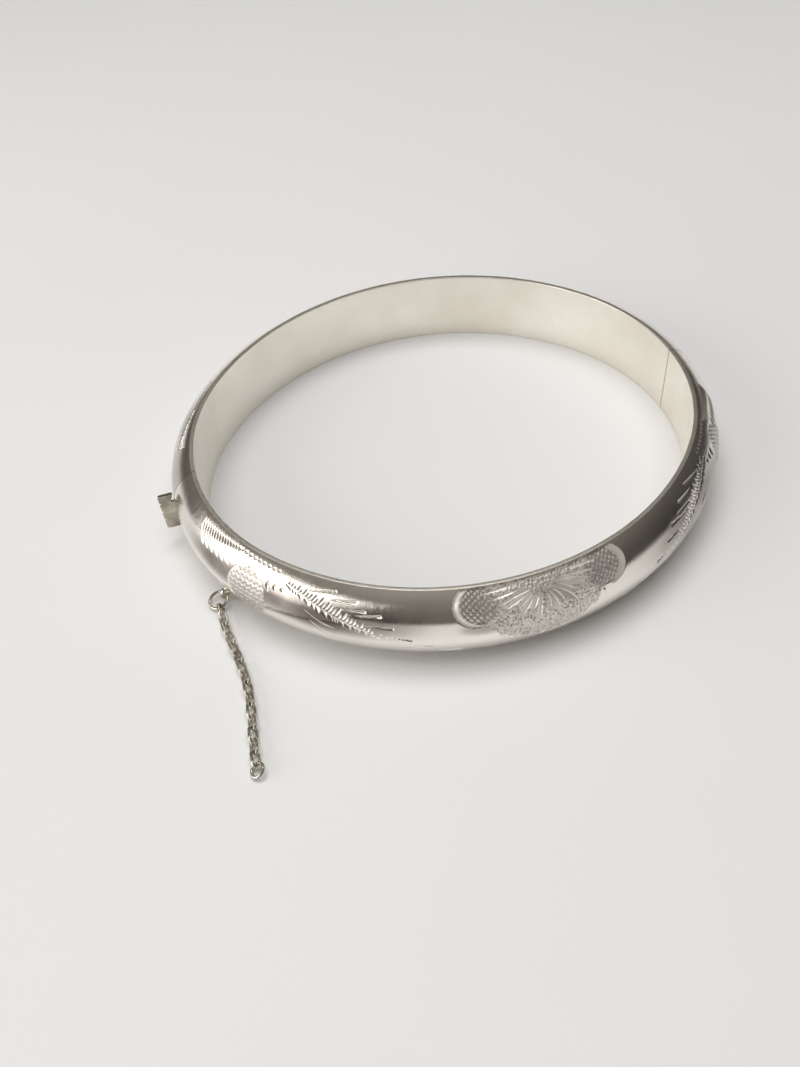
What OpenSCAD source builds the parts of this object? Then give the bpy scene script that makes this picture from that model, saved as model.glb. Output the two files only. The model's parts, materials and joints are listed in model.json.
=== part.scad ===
// Hinged hollow bangle bracelet with a tongue clasp and a safety chain, in millimetres.
//
// Frame: the origin is the middle of the oval opening, on the surface the band rests on. +Z is up,
// +X points at the hinge, -X at the clasp. The front half of the band lies at y < 0, the back half
// at y > 0. "Depth" is always measured outward from the band's inner face.

/* [Band] */
// Length of the oval opening, from hinge to clasp
opening_length = 61; // [60:0.5:62]
// Width of the oval opening
opening_width = 56; // [55:0.5:57]
// Height of the band
band_height = 9.5; // [9.4:0.1:9.8]
// Thickness of the band, from the inner face to the crown of the dome
band_thickness = 3.6; // [3.6:0.05:3.8]
// Thickness of the flat inner liner
liner_thickness = 0.5; // [0.45:0.05:0.5]
// Wall of the domed outer shell
shell_wall = 0.5; // [0.4:0.05:0.5]
// Gap between the two halves where they meet
seam_gap = 0.1; // [0.06:0.02:0.12]

/* [Hinge] */
// Depth of the hinge pin's axis
hinge_depth = 2.3; // [2.2:0.05:2.35]
// Radius of the hinge pin
pin_radius = 0.4; // [0.35:0.05:0.45]
// Radius of the hinge knuckles
knuckle_radius = 0.75; // [0.7:0.05:0.75]
// Length of the whole knuckle barrel
barrel_length = 4.7; // [4.3:0.1:4.7]
// Length of the middle knuckle
middle_knuckle_length = 1.8; // [1.4:0.1:2]
// Angle that each half is cut back by, outside the pin
relief_angle = 27; // [24:1:30]

/* [Clasp] */
// Reach of the tongue into the front half
tongue_reach = 5; // [4.6:0.1:5]
// Width of the tongue
tongue_width = 3.2; // [2.8:0.1:3.2]
// Height of the thumb tab's head
tab_height = 5.4; // [4.8:0.2:6]
// How far the thumb tab stands out of the dome
tab_reach = 1.6; // [1.4:0.1:2]
// Thickness of the thumb tab
tab_thickness = 0.35; // [0.3:0.05:0.35]

/* [Eyelets and chain] */
// Angle from the clasp round to each eyelet
eyelet_angle = 25.5; // [22:0.5:30]
// Outer radius of an eyelet
eyelet_radius = 0.8; // [0.75:0.05:0.85]
// Radius of an eyelet's hole
eyelet_hole_radius = 0.42; // [0.4:0.01:0.44]
// Middle radius of the jump ring
jump_ring_radius = 1.1; // [1.05:0.05:1.2]
// Number of chain links
link_count = 15; // [4:1:16]
// Middle radius of a link's round ends
link_radius = 0.485; // [0.48:0.005:0.5]
// Length of a link's straight sides
link_straight = 0.89; // [0.85:0.01:0.95]
// Wire radius of the links
link_wire = 0.19; // [0.17:0.01:0.19]
// How far the chain's line swings to either side as it lies
chain_swing = 8; // [0:1:10]

/* [Hidden] */
$fn = 128;
wire_fn = 48;

// The oval: four arcs, two round the hinge and clasp ends and two along the sides, which meet
// tangent to each other because their centres lie on a 3-4-5 triangle.
oval_step = (opening_length - opening_width) / 4;
end_offset = 4 * oval_step;
side_offset = 3 * oval_step;
end_radius = opening_length / 2 - end_offset;
side_radius = opening_width / 2 + side_offset;
join_angle = atan2(3, 4);

// The domed section
mid_height = band_height / 2;
dome_rise = band_thickness - liner_thickness;
dome_radius = (pow(mid_height, 2) + pow(dome_rise, 2)) / (2 * dome_rise);
dome_centre = band_thickness - dome_radius;

// Hinge
hinge_x = opening_length / 2 + hinge_depth;
running_clearance = 0.03;
knuckle_gap = 0.05;
pin_head_radius = 0.62;
pin_head_thickness = 0.2;
hinge_plate_thickness = 1.2;
barrel_bottom = mid_height - barrel_length / 2;
barrel_top = mid_height + barrel_length / 2;
middle_bottom = mid_height - middle_knuckle_length / 2;
middle_top = mid_height + middle_knuckle_length / 2;

// Clasp. The tongue and its box are curved round the hinge pin, so the tongue slides out freely.
clasp_radius = hinge_x + opening_length / 2;
tongue_depth = 0.85;
tongue_thickness = 0.25;
slot_clearance = 0.1;
slot_opening = 1.3;
box_wall = 0.2;
box_reach = tongue_reach + 0.5;
tab_front = -0.6;
plate_front = -0.75;
plate_thickness = 0.5;
back_plate_thickness = 0.6;
leaf_thickness = 0.22;
leaf_width = 3;
fold_radius = 0.14;
fold_gap = 0.06;
fold_reach = tongue_reach - 0.2;
leaf_rise = 0.55;
neck_width = 3;
neck_clearance = 0.15;
tab_lift = 0.4;
tab_notch_radius = 0.24;
tab_notch_pitch = 1.35;

// Eyelets and jump ring
eyelet_depth = 3;
eyelet_height = 1.1;
eyelet_thickness = 0.6;
ring_wire = 0.18;
ring_hang_depth = 3.1;
ring_hang_height = 1;
ring_tilt = 16.2;

// Chain
link_clearance = 0.03;
first_link_roll = -60;
link_roll = 45;
end_ring_radius = 0.75;
end_ring_roll = 30;
link_end = link_radius + link_straight / 2;
link_overlap = 2 * link_wire + link_clearance;
chain_height = link_radius * sin(abs(first_link_roll)) + link_wire;

// ---------------------------------------------------------------- band sections (depth, height)

module dome_disc(inset = 0) {
    translate([dome_centre, mid_height]) circle(r = dome_radius - inset);
}

module outside_liner() {
    translate([liner_thickness, 0]) square([band_thickness, band_height]);
}

module shell_section() {
    intersection() {
        difference() {
            dome_disc();
            dome_disc(shell_wall);
        }
        outside_liner();
    }
}

module hollow_section() {
    intersection() {
        dome_disc(shell_wall);
        outside_liner();
    }
}

module whole_section() {
    square([liner_thickness, band_height]);
    intersection() {
        dome_disc();
        outside_liner();
    }
}

// ---------------------------------------------------------------- sweeps

// Sweeps a section round one arc of the oval, from one angle to another
module swept_arc(radius, from, to) {
    rotate([0, 0, from])
        rotate_extrude(angle = to - from)
            translate([radius, 0]) children();
}

module hinge_end_arc(from, to) {
    translate([end_offset, 0, 0]) swept_arc(end_radius, from, to) children();
}

module clasp_end_arc(from, to) {
    translate([-end_offset, 0, 0]) swept_arc(end_radius, 180 + from, 180 + to) children();
}

// The front half of the band, as far as y = 0
module front_sweep() {
    hinge_end_arc(-join_angle, 0) children();
    translate([0, side_offset, 0])
        swept_arc(side_radius, join_angle - 180, -join_angle) children();
    clasp_end_arc(0, join_angle) children();
}

// Everything between two values of y
module y_slab(from, to) {
    translate([-opening_length, from, -band_height])
        cube([2 * opening_length, to - from, 3 * band_height]);
}

module seam() {
    y_slab(-seam_gap / 2, seam_gap / 2);
}

// ---------------------------------------------------------------- hinge shapes

module hinge_cylinder(radius, bottom, top) {
    translate([hinge_x, 0, bottom]) cylinder(r = radius, h = top - bottom);
}

// Room for the whole barrel and the pin's heads
module hinge_space() {
    hinge_cylinder(knuckle_radius + knuckle_gap,
                   barrel_bottom - pin_head_thickness - knuckle_gap,
                   barrel_top + pin_head_thickness + knuckle_gap);
}

// The wedge outside the pin that lets the halves swing apart
module hinge_relief() {
    reach = 2 * band_thickness;
    translate([hinge_x, 0, -1])
        linear_extrude(band_height + 2)
            polygon([[0, 0],
                     [reach, -reach * tan(relief_angle)],
                     [reach, reach * tan(relief_angle)]]);
}

// The solid end of a half at the hinge, before the knuckle seats are cut
module hinge_plate_blank() {
    difference() {
        intersection() {
            hinge_end_arc(-join_angle / 4, 0) hollow_section();
            y_slab(-hinge_plate_thickness, 1);
        }
        seam();
        hinge_relief();
    }
}

// ---------------------------------------------------------------- clasp shapes

function clasp_angle(reach) = reach / clasp_radius * 180 / PI;

// A point in plan, at a depth from the inner face and a reach into the front half
function clasp_point(depth, reach) =
    [hinge_x - (clasp_radius + depth) * cos(clasp_angle(reach)),
     -(clasp_radius + depth) * sin(clasp_angle(reach))];

// A bar curved round the hinge pin, at the clasp
module clasp_bar(depth, thickness, width, from, to) {
    translate([hinge_x, 0, 0])
        rotate([0, 0, 180 + clasp_angle(from)])
            rotate_extrude(angle = clasp_angle(to) - clasp_angle(from))
                translate([clasp_radius + depth, mid_height - width / 2])
                    square([thickness, width]);
}

// The passage through the front half's end that the tongue goes into
module tongue_passage(from, to) {
    clasp_bar(tongue_depth - slot_clearance, slot_opening, tongue_width + 2 * slot_clearance, from, to);
}

// The cut in the front shell's end that the thumb tab's neck stands in
module tab_notch() {
    width = neck_width + 2 * neck_clearance;
    translate([-opening_length / 2 - 2 * band_thickness, tab_front - 0.1, mid_height - width / 2])
        cube([1.6 * band_thickness, 1, width]);
}

// ---------------------------------------------------------------- front half

// A half's domed shell, cut back at the hinge
module half_shell() {
    difference() {
        front_sweep() shell_section();
        seam();
        hinge_space();
        hinge_relief();
    }
}

module half_liner() {
    difference() {
        front_sweep() square([liner_thickness, band_height]);
        seam();
    }
}

module front_outer_shell() {
    color("silver")
        difference() {
            half_shell();
            tab_notch();
        }
}

module front_inner_liner() {
    color("gainsboro") half_liner();
}

module front_hinge_plate() {
    color("darkgray")
        difference() {
            hinge_plate_blank();
            hinge_cylinder(knuckle_radius + knuckle_gap, -1, middle_bottom);
            hinge_cylinder(knuckle_radius, middle_bottom, middle_top);
            hinge_cylinder(knuckle_radius + knuckle_gap, middle_top, band_height + 1);
        }
}

module front_hinge_knuckle() {
    color("lightsteelblue")
        difference() {
            hinge_cylinder(knuckle_radius, middle_bottom, middle_top);
            hinge_cylinder(pin_radius + running_clearance, middle_bottom - 1, middle_top + 1);
        }
}

module front_clasp_plate() {
    color("darkgray")
        difference() {
            intersection() {
                clasp_end_arc(0, join_angle / 4) hollow_section();
                y_slab(plate_front - plate_thickness, plate_front);
            }
            tongue_passage(0, 3);
        }
}

module clasp_box() {
    inner_width = tongue_width + 2 * slot_clearance;
    color("lightslategray")
        intersection() {
            difference() {
                clasp_bar(tongue_depth - slot_clearance - box_wall, slot_opening + 2 * box_wall,
                          inner_width + 2 * box_wall, 1, box_reach);
                tongue_passage(0, box_reach - box_wall);
            }
            y_slab(-2 * box_reach, plate_front - plate_thickness);
        }
}

// A flat ring that stands on the band's lower edge, soldered to the dome
module eyelet() {
    translate([-end_offset, 0, 0])
        rotate([0, 0, 180 + eyelet_angle])
            difference() {
                translate([end_radius + eyelet_depth, 0, eyelet_height])
                    rotate([90, 0, 0]) {
                        difference() {
                            cylinder(r = eyelet_radius, h = eyelet_thickness, center = true,
                                     $fn = wire_fn);
                            cylinder(r = eyelet_hole_radius, h = 2, center = true, $fn = wire_fn);
                        }
                    }
                swept_arc(end_radius, -5, 5) whole_section();
            }
}

module front_eyelet() {
    color("silver") eyelet();
}

// ---------------------------------------------------------------- back half

module back_outer_shell() {
    color("silver") mirror([0, 1, 0]) half_shell();
}

module back_inner_liner() {
    color("gainsboro") mirror([0, 1, 0]) half_liner();
}

module back_hinge_plate() {
    color("darkgray")
        difference() {
            mirror([0, 1, 0]) hinge_plate_blank();
            hinge_cylinder(knuckle_radius, barrel_bottom, middle_bottom - knuckle_gap);
            hinge_cylinder(knuckle_radius + knuckle_gap, middle_bottom - knuckle_gap,
                           middle_top + knuckle_gap);
            hinge_cylinder(knuckle_radius, middle_top + knuckle_gap, barrel_top);
            hinge_cylinder(knuckle_radius + knuckle_gap, -1, barrel_bottom);
            hinge_cylinder(knuckle_radius + knuckle_gap, barrel_top, band_height + 1);
        }
}

module back_hinge_knuckles() {
    color("lightsteelblue")
        difference() {
            union() {
                hinge_cylinder(knuckle_radius, barrel_bottom, middle_bottom - knuckle_gap);
                hinge_cylinder(knuckle_radius, middle_top + knuckle_gap, barrel_top);
            }
            hinge_cylinder(pin_radius, barrel_bottom - 1, barrel_top + 1);
        }
}

// The pin is riveted over at both ends
module hinge_pin() {
    color("dimgray") {
        hinge_cylinder(pin_radius, barrel_bottom - pin_head_thickness,
                       barrel_top + pin_head_thickness);
        hinge_cylinder(pin_head_radius, barrel_bottom - pin_head_thickness, barrel_bottom);
        hinge_cylinder(pin_head_radius, barrel_top, barrel_top + pin_head_thickness);
    }
}

module back_clasp_plate() {
    color("darkgray")
        difference() {
            intersection() {
                mirror([0, 1, 0]) clasp_end_arc(0, join_angle / 4) hollow_section();
                y_slab(0, back_plate_thickness + seam_gap / 2);
            }
            seam();
            clasp_bar(tongue_depth, tongue_thickness, tongue_width, -3, 3);
        }
}

// The fixed lower leaf of the clasp, which runs back through the back half's end plate
module clasp_tongue() {
    color("silver")
        intersection() {
            clasp_bar(tongue_depth, tongue_thickness, tongue_width, -3, tongue_reach);
            y_slab(-2 * tongue_reach, back_plate_thickness + seam_gap / 2);
        }
}

module back_eyelet() {
    color("silver") mirror([0, 1, 0]) eyelet();
}

// ---------------------------------------------------------------- thumb catch

fold_point = clasp_point(tongue_depth + tongue_thickness + fold_gap + fold_radius, fold_reach);
leaf_tip = [clasp_point(fold_radius + tongue_depth + tongue_thickness + leaf_rise, 0)[0], tab_front];

// The upper leaf of the clasp, sprung about the fold at the tongue's tip
module spring_leaf() {
    run = leaf_tip - fold_point;
    color("silver")
        difference() {
            translate([fold_point[0], fold_point[1], mid_height - leaf_width / 2]) {
                cylinder(r = fold_radius, h = leaf_width, $fn = wire_fn);
                rotate([0, 0, atan2(run[1], run[0])])
                    translate([0, -leaf_thickness / 2, 0])
                        cube([norm(run) + 1, leaf_thickness, leaf_width]);
            }
            y_slab(tab_front, 2);
        }
}

// The plate that the wearer presses, on a neck that stands in the front shell's notch
module thumb_tab() {
    neck_bottom = tongue_depth + tongue_thickness + leaf_rise;
    tab_top = band_thickness + tab_reach;
    color("silver")
        translate([-opening_length / 2, tab_front, 0])
            mirror([1, 0, 0])
                rotate([90, 0, 0])
                    translate([0, 0, -tab_thickness])
                        linear_extrude(tab_thickness)
                            difference() {
                                union() {
                                    translate([neck_bottom, mid_height - neck_width / 2])
                                        square([tab_top - neck_bottom, neck_width]);
                                    difference() {
                                        translate([neck_bottom, mid_height - tab_height / 2])
                                            square([tab_top - neck_bottom, tab_height]);
                                        dome_disc(-tab_lift);
                                    }
                                }
                                for (i = [-1 : 1])
                                    translate([tab_top, mid_height + i * tab_notch_pitch])
                                        circle(r = tab_notch_radius, $fn = wire_fn);
                            }
}

// ---------------------------------------------------------------- jump ring and chain

// The front eyelet's own directions: away from the band, and along it
eyelet_out = [-cos(eyelet_angle), -sin(eyelet_angle), 0];
eyelet_along = [sin(eyelet_angle), -cos(eyelet_angle), 0];
ring_out = eyelet_out * cos(ring_tilt) - [0, 0, sin(ring_tilt)];
ring_pivot = [-end_offset, 0, ring_hang_height] + (end_radius + ring_hang_depth) * eyelet_out;
ring_centre = ring_pivot + jump_ring_radius * ring_out;

// The point of the ring that the chain hangs on, the one furthest towards -Y
ring_pull = -ring_out[1] * ring_out - eyelet_along[1] * eyelet_along;
chain_start = ring_centre + jump_ring_radius * ring_pull / norm(ring_pull);

module jump_ring() {
    color("silver")
        translate(ring_pivot)
            rotate([0, 0, 180 + eyelet_angle])
                rotate([0, ring_tilt, 0])
                    translate([jump_ring_radius, 0, 0])
                        rotate_extrude($fn = wire_fn)
                            translate([jump_ring_radius, 0]) circle(r = ring_wire, $fn = wire_fn);
}

function link_name(i) = str("chain_link_", i < 9 ? "0" : "", i + 1);
function link_heading(i) = -90 + chain_swing * sin(i * 360 / link_count);
function direction(i) = [cos(link_heading(i)), sin(link_heading(i)), 0];
function roll_of(i) = i == 0 ? first_link_roll : (i % 2 == 1 ? link_roll : -link_roll);

// Each link hangs on the end of the one before it
function link_centre(i) =
    i == 0
    ? [chain_start[0], chain_start[1], chain_height]
      + (link_end - ring_wire - link_wire - link_clearance) * direction(0)
    : link_centre(i - 1) + link_end * direction(i - 1) + (link_end - link_overlap) * direction(i);

// A link: two half rings joined by two straight sides, lying along X
module link() {
    for (side = [0, 180])
        rotate([0, 0, side]) {
            translate([link_straight / 2, 0, 0])
                rotate([0, 0, -90])
                    rotate_extrude(angle = 180, $fn = wire_fn)
                        translate([link_radius, 0]) circle(r = link_wire, $fn = wire_fn);
            translate([-link_straight / 2, link_radius, 0])
                rotate([0, 90, 0]) cylinder(r = link_wire, h = link_straight, $fn = wire_fn);
        }
}

module chain_link(i) {
    color("silver")
        translate(link_centre(i))
            rotate([0, 0, link_heading(i)])
                rotate([roll_of(i), 0, 0]) link();
}

// The loose ring at the chain's free end
module chain_end_ring() {
    last = link_count - 1;
    color("silver")
        translate(link_centre(last)
                  + (link_end - link_overlap + end_ring_radius) * direction(last))
            rotate([0, 0, link_heading(last)])
                rotate([-sign(roll_of(last)) * end_ring_roll, 0, 0])
                    rotate_extrude($fn = wire_fn)
                        translate([end_ring_radius, 0]) circle(r = link_wire, $fn = wire_fn);
}

// ---------------------------------------------------------------- nodes

front_outer_shell();
front_inner_liner();
front_hinge_plate();
front_hinge_knuckle();
front_clasp_plate();
clasp_box();
front_eyelet();
back_outer_shell();
back_inner_liner();
back_hinge_plate();
back_hinge_knuckles();
hinge_pin();
back_clasp_plate();
clasp_tongue();
back_eyelet();
spring_leaf();
thumb_tab();
jump_ring();
for (i = [0 : link_count - 1])
    chain_link(i);
chain_end_ring();
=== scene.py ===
"""A hinged silver bangle with bright-cut engraving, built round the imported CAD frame.

Lengths in the making of a piece are in millimetres, and mesh_piece() turns them into metres.
A point of the band has three numbers: reach, the distance along the inner face from the clasp;
rise, the distance up the domed section from its crown; and depth, the distance outward from
the inner face.
"""
import json
import math

import bpy
import numpy as np
from mathutils import Matrix, Vector


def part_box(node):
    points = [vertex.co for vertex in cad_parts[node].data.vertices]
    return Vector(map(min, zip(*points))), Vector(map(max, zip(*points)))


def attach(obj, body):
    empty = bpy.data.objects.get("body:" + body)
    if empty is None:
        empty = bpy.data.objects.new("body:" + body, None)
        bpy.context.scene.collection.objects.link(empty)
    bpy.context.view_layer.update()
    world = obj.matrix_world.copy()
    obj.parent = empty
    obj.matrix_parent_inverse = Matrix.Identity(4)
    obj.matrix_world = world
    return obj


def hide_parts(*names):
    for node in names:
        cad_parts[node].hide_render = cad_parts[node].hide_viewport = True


MM = 0.001
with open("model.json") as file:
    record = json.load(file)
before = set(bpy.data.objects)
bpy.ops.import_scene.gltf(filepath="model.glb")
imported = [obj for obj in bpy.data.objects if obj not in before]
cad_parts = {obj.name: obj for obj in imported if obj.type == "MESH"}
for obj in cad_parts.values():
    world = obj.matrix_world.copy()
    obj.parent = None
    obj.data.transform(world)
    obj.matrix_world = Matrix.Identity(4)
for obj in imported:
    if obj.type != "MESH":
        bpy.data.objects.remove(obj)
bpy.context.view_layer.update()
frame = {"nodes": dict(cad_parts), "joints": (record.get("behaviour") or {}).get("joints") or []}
rng = np.random.default_rng(12)

# ------------------------------------------------------------------ sizes

# these repeat the CAD's values
LINER = 0.5          # thickness of the flat inner liner
WALL = 0.5           # wall of the domed shell
SEAM = 0.05          # half the gap between the halves
HINGE_RELIEF = math.radians(27)    # how far each half is cut back outside the pin
HINGE_DEPTH = 2.3    # depth of the pin's middle
HINGE_ROOM = 0.8     # radius of the room round the knuckles
HINGE_ROOM_HALF = 2.6              # half the height of that room
NOTCH_HALF = 1.65    # half the width of the notch for the thumb tab's neck
NOTCH_REACH = 0.7    # how far the notch goes back from the clasp
EYELET_ANGLE = math.radians(25.5)  # place of the eyelets round the clasp end

# the rest is worked out from the frame

liner_low, liner_high = (Vector(corner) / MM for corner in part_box("front_inner_liner"))
_, shell_high = (Vector(corner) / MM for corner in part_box("front_outer_shell"))
BAND_HEIGHT = liner_high.z - liner_low.z
MID = (liner_high.z + liner_low.z) / 2
OPENING_LENGTH = liner_high.x - liner_low.x - 2 * LINER
OPENING_WIDTH = -2 * (liner_low.y + LINER)
THICKNESS = shell_high.x - OPENING_LENGTH / 2

STEP = (OPENING_LENGTH - OPENING_WIDTH) / 4
END_OFFSET = 4 * STEP
SIDE_OFFSET = 3 * STEP
END_RADIUS = OPENING_LENGTH / 2 - END_OFFSET
SIDE_RADIUS = OPENING_WIDTH / 2 + SIDE_OFFSET
JOIN = math.atan2(3, 4)
END_RUN = END_RADIUS * JOIN
SIDE_RUN = SIDE_RADIUS * (math.pi - 2 * JOIN)
HALF_RUN = 2 * END_RUN + SIDE_RUN

DOME_RISE = THICKNESS - LINER
DOME_RADIUS = ((BAND_HEIGHT / 2) ** 2 + DOME_RISE ** 2) / (2 * DOME_RISE)
DOME_CENTRE = THICKNESS - DOME_RADIUS
DOME_HALF = math.asin(BAND_HEIGHT / 2 / DOME_RADIUS)
RIM = DOME_RADIUS * DOME_HALF    # rise of the upper rim
UV_SCALE = 0.1                   # the materials' band coordinates, in one millimetre


# ------------------------------------------------------------------ camera, floor, light

def aim_camera():
    """The camera looks down at the band's front, a little from the clasp's side."""
    azimuth, elevation, roll = (math.radians(a) for a in (-12.29, 47.35, -6.16))
    target = Vector((-9.8, -13.85, MID)) * MM
    distance = 0.1136
    back = Vector((math.sin(azimuth) * math.cos(elevation),
                   -math.cos(azimuth) * math.cos(elevation),
                   math.sin(elevation)))
    camera = bpy.data.objects.new("camera", bpy.data.cameras.new("camera"))
    bpy.context.scene.collection.objects.link(camera)
    turn = back.to_track_quat("Z", "Y").to_matrix() @ Matrix.Rotation(roll, 3, "Z")
    camera.matrix_world = Matrix.Translation(target + back * distance) @ turn.to_4x4()
    camera.data.sensor_width = 36
    camera.data.lens = 33.28
    camera.data.clip_start = 0.005
    camera.data.clip_end = 20
    bpy.context.scene.camera = camera


def area_light(name, direction, distance, size, power, colour, mirrored=True):
    """A soft rectangle of light that faces the middle of the opening."""
    data = bpy.data.lights.new(name, "AREA")
    data.shape = "RECTANGLE"
    data.size, data.size_y = size
    data.energy = power
    data.color = colour
    light = bpy.data.objects.new(name, data)
    bpy.context.scene.collection.objects.link(light)
    towards = Vector(direction).normalized()
    turn = towards.to_track_quat("Z", "Y").to_matrix().to_4x4()
    light.matrix_world = Matrix.Translation(towards * distance) @ turn
    light.visible_glossy = mirrored


def make_studio():
    """A pale floor, three soft lights and a dim room for the silver to reflect."""
    floor_size = 3.0
    clearance = 0.00002
    bpy.ops.mesh.primitive_plane_add(size=floor_size, location=(0, 0, -clearance))
    floor = bpy.context.object
    floor.name = "floor"
    floor.data.materials.append(floor_material())
    area_light("window", direction=(-0.93, -0.10, 0.36), distance=0.42, size=(0.44, 0.34),
               power=1.0, colour=(1.0, 0.985, 0.96))
    area_light("skylight", direction=(0.0, 0.24, 0.97), distance=0.60, size=(0.30, 0.20),
               power=0.50, colour=(1.0, 0.99, 0.97))
    # the ceiling lights the floor, and is kept out of the silver's reflections
    area_light("ceiling", direction=(0.02, 0.05, 1.0), distance=0.60, size=(0.60, 0.50),
               power=2.30, colour=(1.0, 1.0, 1.0), mirrored=False)
    world = bpy.data.worlds.new("room")
    world.use_nodes = True
    nodes, links = world.node_tree.nodes, world.node_tree.links
    place = nodes.new("ShaderNodeTexCoord")
    split = nodes.new("ShaderNodeSeparateXYZ")
    links.new(place.outputs["Generated"], split.inputs[0])
    ramp = nodes.new("ShaderNodeValToRGB")
    ramp.color_ramp.elements[0].position = 0.0
    ramp.color_ramp.elements[0].color = (0.125, 0.113, 0.102, 1)
    ramp.color_ramp.elements[1].position = 1.0
    ramp.color_ramp.elements[1].color = (0.30, 0.285, 0.265, 1)
    low_wall = ramp.color_ramp.elements.new(0.45)
    low_wall.color = (0.150, 0.136, 0.124, 1)
    high_wall = ramp.color_ramp.elements.new(0.80)
    high_wall.color = (0.21, 0.195, 0.175, 1)
    links.new(split.outputs["Z"], ramp.inputs[0])
    # the room is darkest to the right of the camera
    sideways = ramped(nodes, links, split.outputs["X"], 1.0, 0.45, 0.30, 0.80)
    shade = nodes.new("ShaderNodeMix")
    shade.data_type = "RGBA"
    shade.blend_type = "MULTIPLY"
    shade.inputs["Factor"].default_value = 1.0
    colours = [i for i in shade.inputs if i.type == "RGBA"]
    links.new(ramp.outputs[0], colours[0])
    links.new(sideways, colours[1])
    shaded = next(o for o in shade.outputs if o.type == "RGBA")
    links.new(shaded, nodes["Background"].inputs["Color"])
    nodes["Background"].inputs["Strength"].default_value = 1.0
    bpy.context.scene.world = world
    bpy.context.scene.view_settings.view_transform = "Standard"


# ------------------------------------------------------------------ materials

def new_material(name, colour, metallic, roughness):
    material = bpy.data.materials.new(name)
    material.use_nodes = True
    shader = material.node_tree.nodes["Principled BSDF"]
    shader.inputs["Base Color"].default_value = (*colour, 1)
    shader.inputs["Metallic"].default_value = metallic
    shader.inputs["Roughness"].default_value = roughness
    return material, material.node_tree.nodes, material.node_tree.links, shader


def noise(nodes, links, source, scale, detail=3.0, stretch=(1, 1, 1)):
    """A noise pattern over object or band coordinates."""
    mapping = nodes.new("ShaderNodeMapping")
    mapping.inputs["Scale"].default_value = stretch
    links.new(source, mapping.inputs["Vector"])
    pattern = nodes.new("ShaderNodeTexNoise")
    pattern.inputs["Scale"].default_value = scale
    pattern.inputs["Detail"].default_value = detail
    links.new(mapping.outputs[0], pattern.inputs["Vector"])
    return pattern.outputs["Fac"]


def ramped(nodes, links, value, low, high, start=0.3, end=0.7):
    """Maps a pattern's value from start..end to low..high."""
    node = nodes.new("ShaderNodeMapRange")
    node.inputs["From Min"].default_value = start
    node.inputs["From Max"].default_value = end
    node.inputs["To Min"].default_value = low
    node.inputs["To Max"].default_value = high
    links.new(value, node.inputs["Value"])
    return node.outputs["Result"]


def combined(nodes, links, first, second, operation="ADD"):
    """The sum of two values, held to 0..1, or another operation on them."""
    node = nodes.new("ShaderNodeMath")
    node.operation = operation
    node.use_clamp = operation == "ADD"
    links.new(first, node.inputs[0])
    links.new(second, node.inputs[1])
    return node.outputs[0]


def mixed(nodes, links, factor, first, second):
    """A colour between two colours; each is a socket or a plain colour."""
    node = nodes.new("ShaderNodeMix")
    node.data_type = "RGBA"
    links.new(factor, node.inputs["Factor"])
    for socket, value in (("A", first), ("B", second)):
        slot = next(i for i in node.inputs if i.name == socket and i.type == "RGBA")
        if isinstance(value, tuple):
            slot.default_value = (*value, 1)
        else:
            links.new(value, slot)
    return next(o for o in node.outputs if o.type == "RGBA")


def add_bump(nodes, links, shader, height, strength, distance):
    bump = nodes.new("ShaderNodeBump")
    bump.inputs["Strength"].default_value = strength
    bump.inputs["Distance"].default_value = distance
    links.new(height, bump.inputs["Height"])
    links.new(bump.outputs[0], shader.inputs["Normal"])


def floor_material():
    dull, pale = (0.79, 0.79, 0.79), (0.82, 0.82, 0.82)
    material, nodes, links, shader = new_material("white_card", pale, 0, 0.55)
    place = nodes.new("ShaderNodeTexCoord").outputs["Object"]
    links.new(mixed(nodes, links, noise(nodes, links, place, 25), dull, pale),
              shader.inputs["Base Color"])
    return material


def engraved_silver():
    """Polished silver, matt and darker where the graver has broken the surface."""
    # tarnished is also the colour of the painted dark reflection patches, as well as of the tarnish in
    # the engraving's hollows
    polished, dulled, tarnished = (0.94, 0.905, 0.845), (0.52, 0.48, 0.41), (0.19, 0.160, 0.142)
    material, nodes, links, shader = new_material("engraved_silver", polished, 1, 0.08)
    place = nodes.new("ShaderNodeTexCoord").outputs["Object"]
    ground = nodes.new("ShaderNodeAttribute")
    ground.attribute_name = "ground"
    scratch_map = nodes.new("ShaderNodeUVMap")
    scratch_map.uv_map = "band"
    clouds = noise(nodes, links, place, 160, 4)
    smears = noise(nodes, links, place, 420, 5)
    scratches = noise(nodes, links, scratch_map.outputs[0], 40, 6, (5, 0.5, 1))
    # this attribute carries painted dark reflection, where the dome would mirror shaded surroundings,
    # together with the tarnish in the engraving's hollows
    dark_reflection_and_tarnish = nodes.new("ShaderNodeAttribute")
    dark_reflection_and_tarnish.attribute_name = "dark_reflection_and_tarnish"
    tarnish = ramped(nodes, links, clouds, 0.0, 0.30, 0.45, 0.75)
    patina = combined(nodes, links, tarnish, ramped(nodes, links, ground.outputs["Fac"], 0, 0.25, 0, 1))
    clean = mixed(nodes, links, patina, polished, dulled)
    patchy = ramped(nodes, links, clouds, 0.75, 1.0, 0.35, 0.6)
    reflection_and_tarnish_amount = combined(nodes, links, patchy, dark_reflection_and_tarnish.outputs["Fac"], "MULTIPLY")
    links.new(mixed(nodes, links, reflection_and_tarnish_amount, clean, tarnished), shader.inputs["Base Color"])
    worn = combined(nodes, links, ramped(nodes, links, smears, 0.07, 0.18),
                 ramped(nodes, links, scratches, 0.0, 0.09, 0.45, 0.75))
    # the punched ground is frosted, so part of its light is scattered
    links.new(ramped(nodes, links, ground.outputs["Fac"], 1.0, 0.50, 0, 1),
              shader.inputs["Metallic"])
    rough = combined(nodes, links, worn, ramped(nodes, links, ground.outputs["Fac"], 0, 0.22, 0, 1))
    links.new(rough, shader.inputs["Roughness"])
    add_bump(nodes, links, shader, scratches, 0.22, 0.00006)
    return material


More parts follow.
